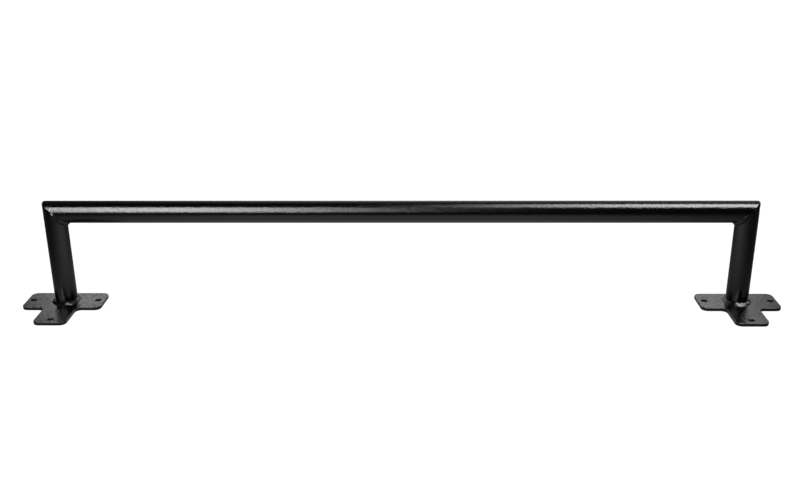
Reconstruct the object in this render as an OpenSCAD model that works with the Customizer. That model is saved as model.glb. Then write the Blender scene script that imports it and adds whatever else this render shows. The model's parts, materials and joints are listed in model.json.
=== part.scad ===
// Wall-mounted pull-up bar: one straight crossbar tube, mitred onto two short legs,
// each leg welded upright on a flat T-shaped mounting plate.
// Frame: +X along the crossbar, +Y from the plates' stems to their crosspieces,
// +Z out of the wall. Z = 0 is the wall face of both plates, and the origin is at
// mid-span, halfway along the plates' depth.

/* [Tube] */
// Width over the outsides of the two legs
overall_width = 1016; // [600:1:1400]
// Height from the wall face of the plates to the top of the crossbar
overall_height = 158.8; // [120:0.1:300]
// Outside diameter of the tube that the crossbar and the legs are cut from
tube_d = 31.75; // [25:0.05:42]
// Wall thickness of that tube
tube_wall = 3.05; // [1.5:0.05:4]
// Radius that the outer corner of each mitre is ground to
corner_r = 2.5; // [0.5:0.1:4]

/* [Mounting plates] */
// Thickness of each plate
plate_t = 5; // [3:0.1:10]
// Length of a plate's crosspiece, along the crossbar
plate_w = 115; // [85:0.5:180]
// Length of the stem, from the crosspiece to the stem's free end
stem_l = 50.8; // [20:0.1:90]
// Flat left on the stem each side of the leg's weld, before the plate is shifted
side_land = 2.6; // [2:0.1:15]
// Flat left on the crosspiece in front of and behind the leg's weld
cross_land = 5.1; // [1:0.1:20]
// How far each plate sits outboard of its leg's axis
plate_shift = 1.2; // [0:0.1:2]
// Radius of the plate's outside corners
plate_corner_r = 9; // [1:0.5:14]
// Radius of the two inside corners, where the stem meets the crosspiece
neck_r = 8; // [1:0.5:12]

/* [Screw holes] */
// Thread diameter of the screws that hold the plates
screw_d = 8; // [5:0.1:10]
// How much larger than the screw each hole is, on the diameter
screw_clearance = 1; // [0.4:0.1:2]
// From each end of the crosspiece to the centre of its hole
end_hole_inset = 9.5; // [8.5:0.1:16]
// From the free end of the stem to the centre of its hole
stem_hole_inset = 10.8; // [8.5:0.1:16]

/* [Welds] */
// Leg of the fillet weld between a leg and its plate
base_weld_leg = 5; // [2:0.1:8]
// How far the middle of that weld stands out past a flat face
base_weld_crown = 0.5; // [0.1:0.1:1]
// Half the width of the weld along a mitre
mitre_weld_half = 4; // [2:0.1:6]
// How far the middle of the mitre weld stands out past a flat face
mitre_weld_crown = 0.5; // [0.2:0.1:1]

/* [Hidden] */
$fn = 96;

tube_r = tube_d / 2;
leg_x = overall_width / 2 - tube_r;   // each leg's axis, from mid-span
bar_z = overall_height - tube_r;      // the crossbar's axis, above the wall face
hole_d = screw_d + screw_clearance;

stem_w = tube_d + 2 * (base_weld_leg + side_land);
cross_d = tube_d + 2 * (base_weld_leg + cross_land);
plate_depth = cross_d + stem_l;
leg_y = plate_depth / 2 - cross_d / 2;  // the leg stands at the middle of the crosspiece
plate_x = leg_x + plate_shift;

weld_stations = 44;   // steps along a mitre weld, half way round the tube
weld_start = 0.35;    // size of a mitre weld at its two ends, against its full size
weld_taper = 30;      // degrees round the tube over which it grows to full size
// Keeps the flats of a mitre weld's foot clear of the round tubes: the height of the
// arc over one step along the weld, and over one step across it
facet_gap = tube_r * (1 - cos(90 / weld_stations)) + mitre_weld_half * mitre_weld_half / (32 * tube_r);
eps = 1;              // overrun that lets a cut pass right through a face
past_corner = 2 * tube_d;   // reach of the blocks that cut a mitre

COAT = [0.07, 0.07, 0.075];
WELD_COAT = [0.09, 0.09, 0.095];

// ---- the tubes ----

// A straight tube standing on Z = 0
module tube(length) {
    difference() {
        cylinder(d = tube_d, h = length);
        translate([0, 0, -eps]) cylinder(d = tube_d - 2 * tube_wall, h = length + 2 * eps);
    }
}

// Moves to the point where the right leg's axis meets the crossbar's
module at_right_corner() {
    translate([leg_x, leg_y, bar_z]) children();
}

// Everything on the leg's side of the right mitre plane, near the corner
module leg_side_of_mitre() {
    at_right_corner() rotate([0, 45, 0])
        translate([0, -past_corner, -past_corner]) cube(2 * past_corner);
}

// Everything on the crossbar's side of it
module bar_side_of_mitre() {
    at_right_corner() rotate([0, 45, 0])
        translate([-2 * past_corner, -past_corner, -past_corner]) cube(2 * past_corner);
}

// What grinding takes off the outer edge of the right mitre
module corner_grinding() {
    at_right_corner() translate([tube_r - corner_r, 0, tube_r - corner_r]) difference() {
        translate([0, -past_corner / 2, 0]) cube([past_corner, past_corner, past_corner]);
        rotate([90, 0, 0]) cylinder(r = corner_r, h = past_corner + 2 * eps, center = true);
    }
}

module crossbar() {
    color(COAT) difference() {
        translate([-overall_width / 2, leg_y, bar_z]) rotate([0, 90, 0]) tube(overall_width);
        for (side = [0, 1]) mirror([side, 0, 0]) {
            leg_side_of_mitre();
            corner_grinding();
        }
    }
}

module leg() {
    color(COAT) difference() {
        translate([leg_x, leg_y, plate_t]) tube(overall_height - plate_t);
        bar_side_of_mitre();
        corner_grinding();
    }
}

module right_leg() { leg(); }
module left_leg() { mirror([1, 0, 0]) leg(); }

// ---- the mounting plates ----

// A rectangle centred on X, from Y = 0 back to depth, with round corners
module rounded_block(width, depth, r) {
    translate([-width / 2 + r, 0]) square([width - 2 * r, depth]);
    translate([-width / 2, r]) square([width, depth - 2 * r]);
    for (x = [-width / 2 + r, width / 2 - r], y = [r, depth - r]) translate([x, y]) circle(r);
}

// The metal that rounds the inside corner to the right of the stem
module neck_fillet() {
    translate([stem_w / 2, stem_l - neck_r]) difference() {
        square(neck_r);
        translate([neck_r, 0]) circle(neck_r);
    }
}

// The T, with the stem's free end on Y = 0
module plate_outline() {
    union() {
        translate([0, stem_l]) rounded_block(plate_w, cross_d, plate_corner_r);
        rounded_block(stem_w, stem_l + cross_d / 2, plate_corner_r);
        for (side = [0, 1]) mirror([side, 0]) neck_fillet();
    }
}

module mount_plate() {
    color(COAT) translate([plate_x, -plate_depth / 2, 0]) difference() {
        linear_extrude(plate_t) plate_outline();
        for (x = [-1, 1] * (plate_w / 2 - end_hole_inset))
            translate([x, stem_l + cross_d / 2, -eps]) cylinder(d = hole_d, h = plate_t + 2 * eps);
        translate([0, stem_hole_inset, -eps]) cylinder(d = hole_d, h = plate_t + 2 * eps);
    }
}

module right_mount_plate() { mount_plate(); }
module left_mount_plate() { mirror([1, 0, 0]) mount_plate(); }

// ---- the welds ----

// The ring of weld round the foot of a leg: a fillet with a slightly full face
module base_weld() {
    chord = base_weld_leg * sqrt(2);
    face_r = (chord * chord / 4 + base_weld_crown * base_weld_crown) / (2 * base_weld_crown);
    centre = base_weld_leg / 2 - (face_r - base_weld_crown) / sqrt(2);
    color(WELD_COAT) translate([leg_x, leg_y, plate_t]) rotate_extrude() intersection() {
        translate([tube_r + centre, centre]) circle(face_r, $fn = 360);
        translate([tube_r, 0]) square(base_weld_leg);
    }
}

module right_base_weld() { base_weld(); }
module left_base_weld() { mirror([1, 0, 0]) base_weld(); }

function unit(v) = v / norm(v);

// Pulls a point onto a cylinder round the X axis, or round the Z axis
function on_bar(p, r) = let (k = r / norm([p.y, p.z])) [p.x, p.y * k, p.z * k];
function on_leg(p, r) = let (k = r / norm([p.x, p.y])) [p.x * k, p.y * k, p.z];

// One section of the mitre weld, at angle a round the tube from its outer edge.
// Its foot follows both tubes from toe to toe, and its face is a low arch over them.
function weld_section(a) =
    let (
        growth = min(1, weld_start + (1 - weld_start) * (90 - abs(a - 180)) / weld_taper),
        half = mitre_weld_half * growth,
        r = tube_r + facet_gap,
        seam = r * [cos(a), sin(a), cos(a)],
        along = unit([-sin(a), cos(a), -sin(a)]),
        bar_normal = [0, sin(a), cos(a)],
        leg_normal = [cos(a), sin(a), 0],
        to_bar = half * cross(bar_normal, along),
        to_leg = half * cross(along, leg_normal),
        bar_toe = on_bar(seam + to_bar, r),
        leg_toe = on_leg(seam + to_leg, r),
        crown = mitre_weld_crown * growth * unit(bar_normal + leg_normal)
    )
    [
        bar_toe,
        for (s = [0.25, 0.5, 0.75]) bar_toe * (1 - s) + leg_toe * s + 4 * s * (1 - s) * crown,
        leg_toe,
        on_leg(seam + to_leg / 2, r),
        seam,
        on_bar(seam + to_bar / 2, r)
    ];

// The weld along the right mitre. Over the outer half of the tube it is ground flush,
// so the bead runs only round the inner half, and grows from a small end to full size.
module mitre_weld() {
    sections = [for (i = [0 : weld_stations]) weld_section(90 + 180 * i / weld_stations)];
    count = len(sections[0]);
    top = 2;   // the highest point of a section, which sees all the others
    last = weld_stations * count;
    color(WELD_COAT) at_right_corner() polyhedron(
        points = [for (s = sections, p = s) p],
        faces = [
            for (i = [0 : weld_stations - 1], j = [0 : count - 1])
                let (here = i * count, next = here + count, k = (j + 1) % count)
                each [[here + j, next + j, next + k], [here + j, next + k, here + k]],
            for (j = [1 : count - 2])
                let (p = (top + j) % count, q = (top + j + 1) % count)
                each [[top, p, q], [last + top, last + q, last + p]]
        ]
    );
}

module right_mitre_weld() { mitre_weld(); }
module left_mitre_weld() { mirror([1, 0, 0]) mitre_weld(); }

crossbar();
left_leg();
right_leg();
left_mount_plate();
right_mount_plate();
left_mitre_weld();
right_mitre_weld();
left_base_weld();
right_base_weld();
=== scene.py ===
# A wall-mounted pull-up bar, welded up from black powder-coated steel: one crossbar tube,
# two short legs of the same tube, and two flat T-shaped mounting plates.
import json
from math import asin, cos, exp, hypot, pi, radians, sin, sqrt

import bmesh
import bpy
from mathutils import Matrix, Vector
from mathutils.geometry import delaunay_2d_cdt


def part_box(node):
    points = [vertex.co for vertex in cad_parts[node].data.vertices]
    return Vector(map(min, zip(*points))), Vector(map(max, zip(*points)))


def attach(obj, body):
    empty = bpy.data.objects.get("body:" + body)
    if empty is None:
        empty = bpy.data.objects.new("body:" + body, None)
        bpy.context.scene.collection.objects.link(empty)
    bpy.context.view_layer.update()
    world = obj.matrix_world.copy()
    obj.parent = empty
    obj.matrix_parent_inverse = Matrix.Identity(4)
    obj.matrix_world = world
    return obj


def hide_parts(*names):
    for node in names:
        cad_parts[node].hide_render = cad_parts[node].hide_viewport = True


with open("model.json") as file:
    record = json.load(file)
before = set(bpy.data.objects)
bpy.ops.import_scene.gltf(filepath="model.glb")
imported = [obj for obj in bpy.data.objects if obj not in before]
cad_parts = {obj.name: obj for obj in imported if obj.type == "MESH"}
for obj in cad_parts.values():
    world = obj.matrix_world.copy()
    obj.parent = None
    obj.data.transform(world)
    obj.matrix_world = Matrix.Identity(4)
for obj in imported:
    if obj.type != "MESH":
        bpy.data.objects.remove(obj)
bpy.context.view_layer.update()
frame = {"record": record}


# ---- The camera ----
# It stands in front of the bar, about level with its middle, and looks down on it
# from a little over half a metre up, through a lens slightly longer than normal.
camera_place = Vector((0.0266, -1.2884, 0.5995))
camera_down = radians(21.02)
camera_left = radians(1.025)
camera_roll = radians(-0.352)
lens_mm = 43.91
sensor_mm = 36

camera = bpy.data.objects.new("camera", bpy.data.cameras.new("camera"))
bpy.context.scene.collection.objects.link(camera)
camera.data.sensor_width = sensor_mm
camera.data.lens = lens_mm
camera.matrix_world = (
    Matrix.Translation(camera_place)
    @ Matrix.Rotation(camera_left, 4, "Z")
    @ Matrix.Rotation(pi / 2 - camera_down, 4, "X")
    @ Matrix.Rotation(camera_roll, 4, "Z")
)
bpy.context.scene.camera = camera


# ---- The powder coat ----
# Semi-gloss black polyester powder, baked on over everything. It flows into a faint
# orange peel with a finer grain in it, and lies a little uneven from patch to patch.
mm = 0.001
grain_size = 0.55 * mm
patch_size = 38 * mm
pepper_size = 1.1 * mm
coat_defaults = (           # heights and Peel Size in millimetres, the rest as shares
    ("Peel Height", 0.1), ("Peel Size", 1.8), ("Grain Height", 0.02), ("Gloss", 0.15),
    ("Gloss Drift", 0.03), ("Black", 0.0004), ("Black Drift", 0.3))
coat_tint = (("Red", 1.0), ("Green", 1.0), ("Blue", 1.04))


def add(tree, kind, **settings):
    """A new node in tree, with its properties and then its input values set."""
    node = tree.nodes.new(kind)
    inputs = settings.pop("inputs", {})
    for name, value in settings.items():
        setattr(node, name, value)
    for name, value in inputs.items():
        node.inputs[name].default_value = value
    return node


def math_node(tree, operation, a, b, clamp=False):
    """A Math node on two values or sockets; gives its result socket."""
    node = add(tree, "ShaderNodeMath", operation=operation, use_clamp=clamp)
    for slot, value in zip(node.inputs, (a, b)):
        if isinstance(value, (int, float)):
            slot.default_value = value
        else:
            tree.links.new(value, slot)
    return node.outputs[0]


def noise(tree, place, scale, detail):
    """Noise from 0 to 1; scale, a number or a socket, is how many features a metre has."""
    node = add(tree, "ShaderNodeTexNoise", inputs={"Detail": detail, "Roughness": 0.5})
    if isinstance(scale, (int, float)):
        node.inputs["Scale"].default_value = scale
    else:
        tree.links.new(scale, node.inputs["Scale"])
    tree.links.new(place, node.inputs["Vector"])
    return node.outputs["Fac"]


def build_coat_group():
    """The coat's surface: its relief in millimetres, its gloss and its blackness."""
    group = bpy.data.node_groups.new("powder_coat_surface", "ShaderNodeTree")
    face = group.interface
    for name, value in coat_defaults:
        socket = face.new_socket(name, in_out="INPUT", socket_type="NodeSocketFloat")
        socket.default_value = value
    for name in ("Relief", "Roughness"):
        face.new_socket(name, in_out="OUTPUT", socket_type="NodeSocketFloat")
    face.new_socket("Color", in_out="OUTPUT", socket_type="NodeSocketColor")
    given = add(group, "NodeGroupInput")
    result = add(group, "NodeGroupOutput")
    place = add(group, "ShaderNodeTexCoord").outputs["Object"]

    peel_scale = math_node(group, "DIVIDE", 1 / mm, given.outputs["Peel Size"])
    peel = noise(group, place, peel_scale, detail=1.0)
    grain = noise(group, place, 1 / grain_size, detail=2.0)
    relief = math_node(group, "ADD",
                       math_node(group, "MULTIPLY", peel, given.outputs["Peel Height"]),
                       math_node(group, "MULTIPLY", grain, given.outputs["Grain Height"]))
    patches = noise(group, place, 1 / patch_size, detail=3.0)
    pepper = noise(group, place, 1 / pepper_size, detail=2.0)
    # patches and half as much pepper, moved down by their mean to drift about zero
    mottle = math_node(group, "ADD", patches, math_node(group, "MULTIPLY", pepper, 0.5))
    uneven = math_node(group, "SUBTRACT", mottle, 0.75)
    gloss = math_node(group, "ADD", given.outputs["Gloss"],
                      math_node(group, "MULTIPLY", uneven, given.outputs["Gloss Drift"]),
                      clamp=True)
    drift = math_node(group, "MULTIPLY", uneven, given.outputs["Black Drift"])
    shade = math_node(group, "MULTIPLY", given.outputs["Black"],
                      math_node(group, "ADD", 1.0, drift))
    tint = add(group, "ShaderNodeCombineColor")
    for channel, share in coat_tint:
        group.links.new(math_node(group, "MULTIPLY", shade, share), tint.inputs[channel])
    group.links.new(relief, result.inputs["Relief"])
    group.links.new(gloss, result.inputs["Roughness"])
    group.links.new(tint.outputs["Color"], result.inputs["Color"])
    return group


coat_group = build_coat_group()


def coat_material(name, **values):
    """One piece's powder coat: the shared surface with that piece's own values."""
    material = bpy.data.materials.new(name)
    material.use_nodes = True
    tree = material.node_tree
    shader = tree.nodes["Principled BSDF"]
    shader.inputs["IOR"].default_value = 1.5
    surface = add(tree, "ShaderNodeGroup", node_tree=coat_group)
    for key, value in values.items():
        surface.inputs[key].default_value = value
    bump = add(tree, "ShaderNodeBump", inputs={"Strength": 1.0, "Distance": mm})
    tree.links.new(surface.outputs["Relief"], bump.inputs["Height"])
    tree.links.new(bump.outputs["Normal"], shader.inputs["Normal"])
    tree.links.new(surface.outputs["Color"], shader.inputs["Base Color"])
    tree.links.new(surface.outputs["Roughness"], shader.inputs["Roughness"])
    return material


# ---- The tubes: crossbar and legs ----
# Drawn steel tube, 31.75 mm across with a 3 mm wall. The crossbar is cut at 45 degrees
# at both ends and each leg at its top, with the cut edges bevelled to take the weld,
# and the leg's foot is cut square and stands on its plate.
bar_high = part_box("crossbar")[1]
leg_low, leg_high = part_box("right_leg")
plate_low, plate_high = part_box("right_mount_plate")
tube_r = (leg_high.x - leg_low.x) / 2
axis_y = (leg_low.y + leg_high.y) / 2
corner_x = (leg_low.x + leg_high.x) / 2
bar_z = bar_high.z - tube_r
plate_top = plate_high.z
tube_wall = 3.05 * mm
prep_depth = 2.2 * mm       # how deep the bevel for the weld goes
ground_width = 2.3 * mm     # half the width of the mitre weld where it is ground off
bead_width = 4.0 * mm       # half its width where it is left as a bead
bead_from, bead_to = radians(78), radians(97)   # how far round from the corner it changes
bead_wobble = 0.06          # how much the bead's width wanders, as a share
foot_edge = 0.3 * mm        # edge break round the foot of a leg
plain_from = -tube_r - 12 * mm  # where the plain tube starts, back from the corner
around = 192                # points round a tube
mitre_steps = 7             # rings from the plain tube to the toe of the weld
bar_lengths = 48            # rings along the crossbar
leg_lengths = 10            # rings down a leg

tube_coat = coat_material("tube_powder_coat", **{"Peel Height": 0.25, "Gloss": 0.14})


def smooth(low, high, value):
    """Rises from 0 at low to 1 at high, gently at both ends."""
    t = min(1.0, max(0.0, (value - low) / (high - low)))
    return t * t * (3 - 2 * t)


def wander(turn, seed):
    """An uneven but repeatable drift round a full turn, from about -1 to 1."""
    return (sin(3 * turn + 1.7 * seed) + sin(7 * turn + 2.9 * seed + 1.1)
            + 0.8 * sin(13 * turn + 0.6 * seed + 2.3)) / 2.2


def off_corner(turn):
    """How far round the mitre from its outer corner, in radians from 0 to pi."""
    return abs((turn + pi) % (2 * pi) - pi)


def beaded(turn):
    """0 where the mitre weld is ground flush, outside, and 1 where it is a full bead."""
    return smooth(bead_from, bead_to, off_corner(turn))


def mitre_toe(turn, side):
    """Where the mitre weld meets the tube: angle round the tube, and distance along it."""
    bead = beaded(turn)
    width = ground_width + (bead_width - ground_width) * bead
    width *= 1 + bead_wobble * bead * wander(turn, side)
    seam = Vector((cos(turn), sin(turn), cos(turn))) * tube_r
    run = Vector((-sin(turn), cos(turn), -sin(turn))).normalized()
    toe = seam + width * Vector((0, sin(turn), cos(turn))).cross(run)
    angle = turn + asin(max(-1.0, min(1.0, (
        cos(turn) * toe.y - sin(turn) * toe.z) / hypot(toe.y, toe.z))))
    return angle, toe.x


def ring(radius, stations):
    """A ring of points (along, across, out) from (angle, along) pairs."""
    return [(s, radius * sin(a), radius * cos(a)) for a, s in stations]


turns = [2 * pi * k / around for k in range(around)]


def mitred_end(side):
    """Rings from the plain tube out to the mitre and back down its bore, and which of
    them are sharp edges."""
    toes = [mitre_toe(t, side) for t in turns]
    rings = []
    for i in range(mitre_steps + 1):
        share = i / mitre_steps
        rings.append(ring(tube_r, [(t + (a - t) * share, plain_from + (s - plain_from) * share)
                                   for t, (a, s) in zip(turns, toes)]))
    for radius in (tube_r - prep_depth, tube_r - tube_wall):
        rings.append(ring(radius, [(t, radius * cos(t)) for t in turns]))
    rings.append(ring(tube_r - tube_wall, [(t, plain_from) for t in turns]))
    return rings, [mitre_steps, mitre_steps + 1, mitre_steps + 2]


def square_end(foot):
    """Rings of a square cut at the foot, with a slight edge break, and the sharp ones."""
    rings = [ring(tube_r, [(t, foot + foot_edge) for t in turns]),
             ring(tube_r - foot_edge, [(t, foot) for t in turns]),
             ring(tube_r - tube_wall, [(t, foot) for t in turns])]
    return rings, [1, 2]


def new_piece(name, mesh, material, node):
    """Puts a finished mesh on the object in place of a CAD node."""
    mesh.materials.append(material)
    piece = bpy.data.objects.new(name, mesh)
    bpy.context.scene.collection.objects.link(piece)
    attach(piece, "root")
    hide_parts(node)
    return piece


def skin(name, rings, creases):
    """A closed skin through rings of equal length, the last joined to the first. The
    rings that creases names are sharp edges."""
    work = bmesh.new()
    rows = [[work.verts.new(p) for p in r] for r in rings]
    count = len(rows[0])
    for i, row in enumerate(rows):
        after = rows[(i + 1) % len(rows)]
        for j in range(count):
            k = (j + 1) % count
            work.faces.new((row[j], row[k], after[k], after[j])).smooth = True
    for i in creases:
        for j in range(count):
            edge = work.edges.get((rows[i][j], rows[i][(j + 1) % count]))
            edge.smooth = False
    bmesh.ops.recalc_face_normals(work, faces=work.faces)
    mesh = bpy.data.meshes.new(name)
    work.to_mesh(mesh)
    work.free()
    return mesh


def build_crossbar():
    """The crossbar: both ends mitred, plain in between."""
    right, creases = mitred_end(1)
    left = mitred_end(-1)[0]
    reach = corner_x + plain_from

    def between(end_ring, direction):
        return [[(direction * reach * (2 * i / bar_lengths - 1), axis_y + y, bar_z + h)
                 for _, y, h in end_ring] for i in range(1, bar_lengths)]

    rings = [[(corner_x + s, axis_y + y, bar_z + h) for s, y, h in r] for r in right]
    rings += between(right[-1], -1)     # the bore, from right to left
    first = len(rings)
    rings += [[(-corner_x - s, axis_y + y, bar_z + h) for s, y, h in r]
              for r in reversed(left)]
    rings += between(right[0], 1)       # the outside, from left to right
    marks = creases + [first + len(left) - 1 - i for i in creases]
    return skin("crossbar_tube", rings, marks)


def build_leg(side):
    """A leg: mitred at the top, square at the foot."""
    top, top_creases = mitred_end(side)
    foot, foot_creases = square_end(plate_top - bar_z)
    high = plain_from
    low = foot[0][0][0]

    def between(radius, start, end):
        return [ring(radius, [(t, start + (end - start) * i / leg_lengths) for t in turns])
                for i in range(1, leg_lengths)]

    rings = top + between(tube_r - tube_wall, high, low)    # down the bore
    rings += foot[::-1] + between(tube_r, low, high)        # and up the outside
    last = len(top) + leg_lengths - 1 + len(foot) - 1
    marks = top_creases + [last - i for i in foot_creases]
    placed = [[(side * (corner_x + h), axis_y + y, bar_z + s) for s, y, h in r] for r in rings]
    return skin(("left" if side < 0 else "right") + "_leg_tube", placed, marks)


new_piece("crossbar_tube", build_crossbar(), tube_coat, "crossbar")
for side, hand in ((-1, "left"), (1, "right")):
    new_piece(hand + "_leg_tube", build_leg(side), tube_coat, hand + "_leg")


# ---- The mounting plates ----
# Flat steel, laser cut to a T with round corners and three screw holes. The cut edges
# are tumbled before coating, so that they and the holes' rims are slightly rounded.
mounts = {m["name"]: m for m in frame["record"]["mounts"]}
plate_corner_r = 9 * mm
neck_r = 8 * mm
edge_round = 0.7 * mm       # rounding of the plate's cut edges
hole_round = 0.5 * mm       # rounding of the holes' rims
cross_depth = 2 * (plate_high.y - axis_y)
stem_half = 23.475 * mm     # half the width of the T's stem
side_pieces = 8             # edges along each straight side of the outline
hole_points = 48            # points round a screw hole
rim_steps = 5               # levels in the rounding of a rim
plate_coat = coat_material("plate_powder_coat", **{
    "Peel Height": 0.5, "Peel Size": 2.1, "Gloss": 0.14})


def arc(centre, radius, first, last, steps=12):
    """Points along an arc, its angles in degrees."""
    return [(centre[0] + radius * cos(radians(first + (last - first) * i / steps)),
             centre[1] + radius * sin(radians(first + (last - first) * i / steps)))
            for i in range(steps + 1)]


def plate_outline(middle_x, inset):
    """The T's outline, anticlockwise, drawn in by inset all round."""
    half = (plate_high.x - plate_low.x) / 2
    back, neck, front = plate_high.y, plate_high.y - cross_depth, plate_low.y
    r, hollow = plate_corner_r, neck_r
    corners = [
        arc((half - r, back - r), r - inset, 0, 90),
        arc((-half + r, back - r), r - inset, 90, 180),
        arc((-half + r, neck + r), r - inset, 180, 270),
        arc((-stem_half - hollow, neck - hollow), hollow + inset, 90, 0),
        arc((-stem_half + r, front + r), r - inset, 180, 270),
        arc((stem_half - r, front + r), r - inset, 270, 360),
        arc((stem_half + hollow, neck - hollow), hollow + inset, 180, 90),
        arc((half - r, neck + r), r - inset, 270, 360),
    ]
    points = []
    for i, corner in enumerate(corners):
        points += corner
        end, start = Vector(corner[-1]), Vector(corners[(i + 1) % len(corners)][0])
        points += [tuple(end.lerp(start, k / side_pieces)) for k in range(1, side_pieces)]
    return [(middle_x + x, y) for x, y in points]


def rim_levels(rounding):
    """(inset, height) from the plate's top face round its edge to its underside."""
    falls = [pi / 2 * i / rim_steps for i in range(rim_steps + 1)]
    top = [(rounding * (1 - sin(f)), plate_top - rounding * (1 - cos(f))) for f in falls]
    return top + [(inset, plate_top - z) for inset, z in reversed(top)]


def build_plate(side):
    """A T plate: rounded rims on the outline and the holes, and flat faces between."""
    hand = "left" if side < 0 else "right"
    pair, single = mounts[hand + "_plate_screws"], mounts[hand + "_stem_screw"]
    spread = pair["dims"]["spacing_x_mm"] * mm / 2
    hole_r = pair["dims"]["hole_r_mm"] * mm
    middle = pair["pos_m"][0]
    holes = [(middle - spread, pair["pos_m"][1]), (middle + spread, pair["pos_m"][1]),
             (single["pos_m"][0], single["pos_m"][1])]
    rims = [[[(x, y, z) for x, y in plate_outline(middle, inset)]
             for inset, z in rim_levels(edge_round)]]
    for hole in holes:
        rims.append([[(x, y, z) for x, y in arc(hole, hole_r + inset, 0, 360, hole_points)[:-1]]
                     for inset, z in rim_levels(hole_round)])
    work = bmesh.new()
    loops = []
    for rim in rims:
        rows = [[work.verts.new(p) for p in level] for level in rim]
        for upper, lower in zip(rows, rows[1:]):
            for j in range(len(upper)):
                k = (j + 1) % len(upper)
                work.faces.new((upper[j], upper[k], lower[k], lower[j])).smooth = True
        loops.append((rows[0], rows[-1]))
    for boundary in zip(*loops):        # the top face, then the underside
        points, edges, spans = [], [], []
        for loop in boundary:
            base = len(points)
            spans.append(range(base, base + len(loop)))
            points += [Vector(v.co[:2]) for v in loop]
            edges += [(base + j, base + (j + 1) % len(loop)) for j in range(len(loop))]
        corners = [v for loop in boundary for v in loop]
        triangles = delaunay_2d_cdt(points, edges, [], 1, 1e-7)[2]
        for triangle in triangles:
            in_a_hole = any(all(i in span for i in triangle) for span in spans[1:])
            if not in_a_hole:
                work.faces.new([corners[i] for i in triangle]).smooth = True
    bmesh.ops.recalc_face_normals(work, faces=work.faces)
    mesh = bpy.data.meshes.new(hand + "_t_plate")
    work.to_mesh(mesh)
    work.free()
    return mesh


for side, hand in ((-1, "left"), (1, "right")):
    plate = new_piece(hand + "_t_plate", build_plate(side), plate_coat,
                      hand + "_mount_plate")
    flats = plate.modifiers.new("keep_faces_flat", "WEIGHTED_NORMAL")
    flats.mode = "FACE_AREA"
    flats.weight = 100


# ---- The mitre welds ----
# Where the crossbar meets a leg, the bevelled edges are filled with weld. It is ground
# flush and round over the outer half, and left as a rippled bead in the crook.
bead_crown = 0.8 * mm       # how far the bead stands out in the crook
crown_wobble = 0.35         # how much that wanders, as a share
ripple_pitch = 2.1 * mm
ripple_height = 0.16 * mm
lump = {-1: 0.5 * mm, 1: -0.1 * mm}     # left where the grinding stopped, by side
lump_at, lump_spread = radians(89), radians(7)
ground_flat = 0.6           # how far the grinding flattens the outside of the weld
flat_from, flat_to = radians(22), radians(48)
root_lap = 0.2 * mm         # how far the weld stands clear of the bevel's bottom
mitre_stations = 420        # sections round the mitre
weld_points = 17            # points across a weld's face
weld_coat = coat_material("weld_powder_coat", **{
    "Peel Height": 0.06, "Grain Height": 0.03, "Gloss": 0.17})


def ripple(run, across):
    """Height of the weld's ripples, -1 to 1; across is 0 to 1 over the bead."""
    phase = run / ripple_pitch - 0.55 * (1 - (2 * across - 1) ** 2)
    return sin(2 * pi * phase + 0.6 * sin(2 * pi * phase))


def build_mitre_weld(side):
    """The weld between a leg and the crossbar, right round the mitre. Each section goes
    from toe to toe over the bevels, and down to the root between them."""
    rings = []
    run = 0.0
    before = None
    for i in range(mitre_stations):
        turn = 2 * pi * i / mitre_stations
        bead = beaded(turn)
        angle, along = mitre_toe(turn, side)
        toe = Vector((along, tube_r * sin(angle), tube_r * cos(angle)))
        other = Vector((toe.z, toe.y, toe.x))
        seam = Vector((cos(turn), sin(turn), cos(turn))) * tube_r
        run += (seam - before).length if before else 0.0
        before = seam
        outward = Vector((cos(turn), 2 * sin(turn), cos(turn))).normalized()
        crown = bead_crown * (1 + crown_wobble * wander(turn, side + 4))
        crown += lump[side] * exp(-((off_corner(turn) - lump_at) / lump_spread) ** 2)
        flat = ground_flat * smooth(flat_from, flat_to, off_corner(turn))
        middle = (toe + other) / 2
        pull = seam.lerp(middle, flat).lerp(middle + 2 * crown * outward, bead)
        section = []
        for j in range(weld_points):
            s = j / (weld_points - 1)
            p = toe * (1 - s) ** 2 + pull * 2 * s * (1 - s) + other * s ** 2
            lift = ripple_height * bead * sqrt(4 * s * (1 - s)) * ripple(run, s)
            section.append(p + outward * lift)
        root = Vector((cos(turn), sin(turn), cos(turn))) * (tube_r - prep_depth + root_lap)
        section.append(root)
        rings.append([(side * (corner_x + p.x), axis_y + p.y, bar_z + p.z) for p in section])
    columns = [[r[j] for r in rings] for j in range(weld_points + 1)]
    return skin(("left" if side < 0 else "right") + "_mitre_bead", columns, [0, weld_points - 1])


for side, hand in ((-1, "left"), (1, "right")):
    new_piece(hand + "_mitre_bead", build_mitre_weld(side), weld_coat,
              hand + "_mitre_weld")


# ---- The base welds ----
# A fillet weld joins each leg to its plate all round. It is laid in short runs that
# overlap, so that the bead swells and thins, with fine ripples between.
bead_room = 5.0 * mm        # the size of the fillet, up the leg and out over the plate
base_crown = 0.16 * mm      # how far the bead bulges
base_ripple = 0.08 * mm
base_sink = 0.06 * mm       # how far the toes are melted into the tube and the plate
base_rise = (0.72, -0.08)   # height, as a share of bead_room, and how it goes with swell
base_width = (0.94, 0.05)   # width, in the same way
base_bulge = (0.8, 0.6)     # share of base_crown, in the same way
base_stations = 420         # sections round the foot


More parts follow.
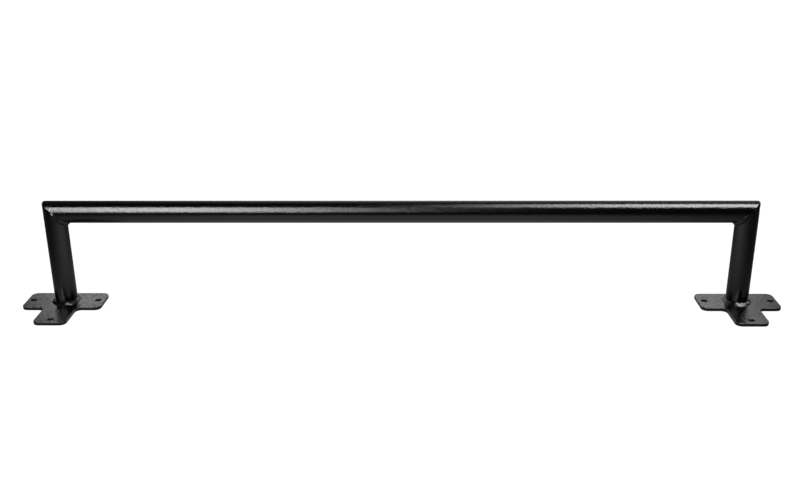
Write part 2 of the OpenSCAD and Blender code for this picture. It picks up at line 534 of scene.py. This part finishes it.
def build_base_weld(side):
    """The ring of weld round a leg's foot. Each section goes from its top on the leg to
    its toe on the plate, and back to the corner between them."""
    rings = []
    for i in range(base_stations):
        turn = 2 * pi * i / base_stations
        swell = wander(turn, 2 * side + 9)
        height = bead_room * (base_rise[0] + base_rise[1] * swell)
        width = bead_room * (base_width[0] + base_width[1] * swell)
        crown = base_crown * (base_bulge[0] + base_bulge[1] * swell)
        top = Vector((tube_r - base_sink, height))
        toe = Vector((tube_r + width, -base_sink))
        outward = Vector((height, width)).normalized()
        pull = (top + toe) / 2 + 2 * crown * outward
        section = []
        for j in range(weld_points):
            s = j / (weld_points - 1)
            p = top * (1 - s) ** 2 + pull * 2 * s * (1 - s) + toe * s ** 2
            lift = base_ripple * sqrt(4 * s * (1 - s)) * ripple(turn * (tube_r + width / 2), s)
            section.append(p + outward * lift)
        section.append(Vector((tube_r - base_sink, -base_sink)))
        rings.append([(side * corner_x + p.x * sin(turn), axis_y - p.x * cos(turn),
                       plate_top + p.y) for p in section])
    columns = [[r[j] for r in rings] for j in range(weld_points + 1)]
    return skin(("left" if side < 0 else "right") + "_base_bead", columns,
                [0, weld_points - 1, weld_points])


for side, hand in ((-1, "left"), (1, "right")):
    new_piece(hand + "_base_bead", build_base_weld(side), weld_coat,
              hand + "_base_weld")


# ---- The floor and the studio light ----
# A plain white floor, two large soft boxes over the front of the bar, a pale card and a
# dimmer one behind it, and weaker boxes at the sides and back. None of them is part of
# the object. The floor is white to look at, but lights the bar only a little, from near it.
floor_half = 36.0
floor_tone = 0.04
floor_glow = 0.66
floor_fades = (             # axis, where the glow starts, where it is full, its low value
    ("X", -0.8, -0.2, 0.0), ("X", 0.75, 0.1, 0.0),
    ("Y", -0.75, -0.1, 0.0), ("Y", 0.3, -0.2, 0.12))


def stage_mesh(name, points, faces, uvs=None):
    """A stage object from points and faces, with one UV for each point if given."""
    mesh = bpy.data.meshes.new(name)
    mesh.from_pydata(points, [], faces)
    if uvs:
        layer = mesh.uv_layers.new(name="spread")
        for loop in mesh.loops:
            layer.data[loop.index].uv = uvs[loop.vertex_index]
    thing = bpy.data.objects.new(name, mesh)
    bpy.context.scene.collection.objects.link(thing)
    return thing


floor = stage_mesh("floor", [(x * floor_half, y * floor_half, 0)
                             for x, y in ((-1, -1), (1, -1), (1, 1), (-1, 1))], [(0, 1, 2, 3)])
floor_paint = bpy.data.materials.new("white_floor")
floor_paint.use_nodes = True
paint = floor_paint.node_tree
floor_shader = paint.nodes["Principled BSDF"]
for name, value in (("Base Color", (floor_tone, floor_tone, floor_tone, 1)), ("Roughness", 1.0),
                    ("Specular IOR Level", 0.0), ("Emission Color", (1, 1, 1, 1))):
    floor_shader.inputs[name].default_value = value
floor_place = add(paint, "ShaderNodeSeparateXYZ")
paint.links.new(add(paint, "ShaderNodeTexCoord").outputs["Object"], floor_place.inputs["Vector"])


def fall_off(value, start, end, low, high):
    """Goes smoothly from low at start to high at end, over the floor."""
    node = add(paint, "ShaderNodeMapRange", interpolation_type="SMOOTHSTEP", inputs={
        "From Min": start, "From Max": end, "To Min": low, "To Max": high})
    paint.links.new(value, node.inputs["Value"])
    return node.outputs["Result"]


lit = floor_glow
for axis, start, full, low in floor_fades:
    share = fall_off(floor_place.outputs[axis], start, full, low, 1.0)
    lit = math_node(paint, "MULTIPLY", share, lit)
seen_floor = add(paint, "ShaderNodeMix", inputs={"B": 1.0})
floor_rays = add(paint, "ShaderNodeLightPath")
paint.links.new(floor_rays.outputs["Is Camera Ray"], seen_floor.inputs["Factor"])
paint.links.new(lit, seen_floor.inputs["A"])
paint.links.new(seen_floor.outputs["Result"], floor_shader.inputs["Emission Strength"])
floor.data.materials.append(floor_paint)


def light_panel(name, shape, power, fade_u, fade_v):
    """A soft box: shape gives its surface point for u and v from 0 to 1. Its light fades
    out at the edges, over a share of u and of v at their low and high ends."""
    cells = 24
    line = cells + 1
    uvs = [(j / cells, i / cells) for i in range(line) for j in range(line)]
    faces = [(r * line + c, r * line + c + 1, (r + 1) * line + c + 1, (r + 1) * line + c)
             for r in range(cells) for c in range(cells)]
    panel = stage_mesh(name, [shape(u, v) for u, v in uvs], faces, uvs)
    panel.visible_camera = False
    glow = bpy.data.materials.new(name + "_glow")
    glow.use_nodes = True
    tree = glow.node_tree
    tree.nodes.clear()
    spread = add(tree, "ShaderNodeSeparateXYZ")
    place = add(tree, "ShaderNodeUVMap", uv_map="spread")
    tree.links.new(place.outputs["UV"], spread.inputs["Vector"])
    strength = power
    for axis, (low, high) in (("X", fade_u), ("Y", fade_v)):
        for start, end in ((0.0, low), (1.0, 1.0 - high)):
            ramp = add(tree, "ShaderNodeMapRange", interpolation_type="SMOOTHSTEP",
                       inputs={"From Min": start, "From Max": end})
            tree.links.new(spread.outputs[axis], ramp.inputs["Value"])
            strength = math_node(tree, "MULTIPLY", ramp.outputs["Result"], strength)
    emission = add(tree, "ShaderNodeEmission")
    tree.links.new(strength, emission.inputs["Strength"])
    output = add(tree, "ShaderNodeOutputMaterial")
    tree.links.new(emission.outputs["Emission"], output.inputs["Surface"])
    panel.data.materials.append(glow)


def dome(across, up, distance=8.0):
    """Part of a great dome over the object. across is its span in X as a share of the
    distance, up its span in degrees, from level in front over the top to level behind."""
    def point(u, v):
        x = across[0] + (across[1] - across[0]) * u
        rise = radians(up[0] + (up[1] - up[0]) * v)
        deep = sqrt(1 - x * x)
        return distance * x, -distance * deep * cos(rise), distance * deep * sin(rise)
    return point


def card(width, height, back):
    """An upright card behind the object."""
    return lambda u, v: (width[0] + (width[1] - width[0]) * u, back,
                         height[0] + (height[1] - height[0]) * v)


# the two soft boxes, which make the long highlights on the crossbar
light_panel("front_left_box", dome(across=(-0.44, -0.03), up=(11, 65)),
            power=15.0, fade_u=(0.08, 0.64), fade_v=(0.22, 0.08))
light_panel("overhead_right_box", dome(across=(0.065, 0.58), up=(60, 105)),
            power=13.5, fade_u=(0.36, 0.13), fade_v=(0.25, 0.25))
# the pale card that the plates mirror, and the dim one that the bar's top edge mirrors
light_panel("backdrop", card(width=(-0.74, 0.75), height=(0.03, 0.22), back=0.27),
            power=2.15, fade_u=(0.12, 0.15), fade_v=(0.5, 0.57))
light_panel("flag", card(width=(-0.7, 0.7), height=(0.10, 0.19), back=0.12),
            power=1.3, fade_u=(0.6, 0.02), fade_v=(0.02, 0.02))
# weak boxes that give the bar's back and sides something to mirror
for name, across, up, power, fade_u, fade_v in (
        ("rear_middle_box", (-0.48, 0.48), (112, 165), 0.35, (0.45, 0.1), (0.2, 0.1)),
        ("left_side_box", (-0.80, -0.52), (24, 62), 8.0, (0.2, 0.2), (0.2, 0.15)),
        ("right_low_box", (0.55, 0.82), (8, 34), 0.5, (0.25, 0.25), (0.25, 0.25)),
        ("rear_left_box", (-0.76, -0.50), (112, 160), 2.6, (0.2, 0.2), (0.15, 0.15)),
        ("rear_right_box", (0.50, 0.82), (112, 160), 3.2, (0.2, 0.2), (0.15, 0.15))):
    light_panel(name, dome(across, up), power, fade_u, fade_v)

# the studio round about: white to look at, almost dark in reflections
dark_room = 0.02
world = bpy.data.worlds.new("studio")
bpy.context.scene.world = world
world.use_nodes = True
sky = world.node_tree
sky.nodes.clear()
seen = add(sky, "ShaderNodeBackground", inputs={"Color": (1, 1, 1, 1), "Strength": 1.0})
dim = add(sky, "ShaderNodeBackground", inputs={"Color": (1, 1, 1, 1), "Strength": dark_room})
choose = add(sky, "ShaderNodeMixShader")
sky.links.new(add(sky, "ShaderNodeLightPath").outputs["Is Camera Ray"], choose.inputs["Fac"])
sky.links.new(dim.outputs[0], choose.inputs[1])
sky.links.new(seen.outputs[0], choose.inputs[2])
sky.links.new(choose.outputs[0], add(sky, "ShaderNodeOutputWorld").inputs["Surface"])

bpy.context.scene.view_settings.view_transform = "Standard"
bpy.context.scene.view_settings.look = "None"
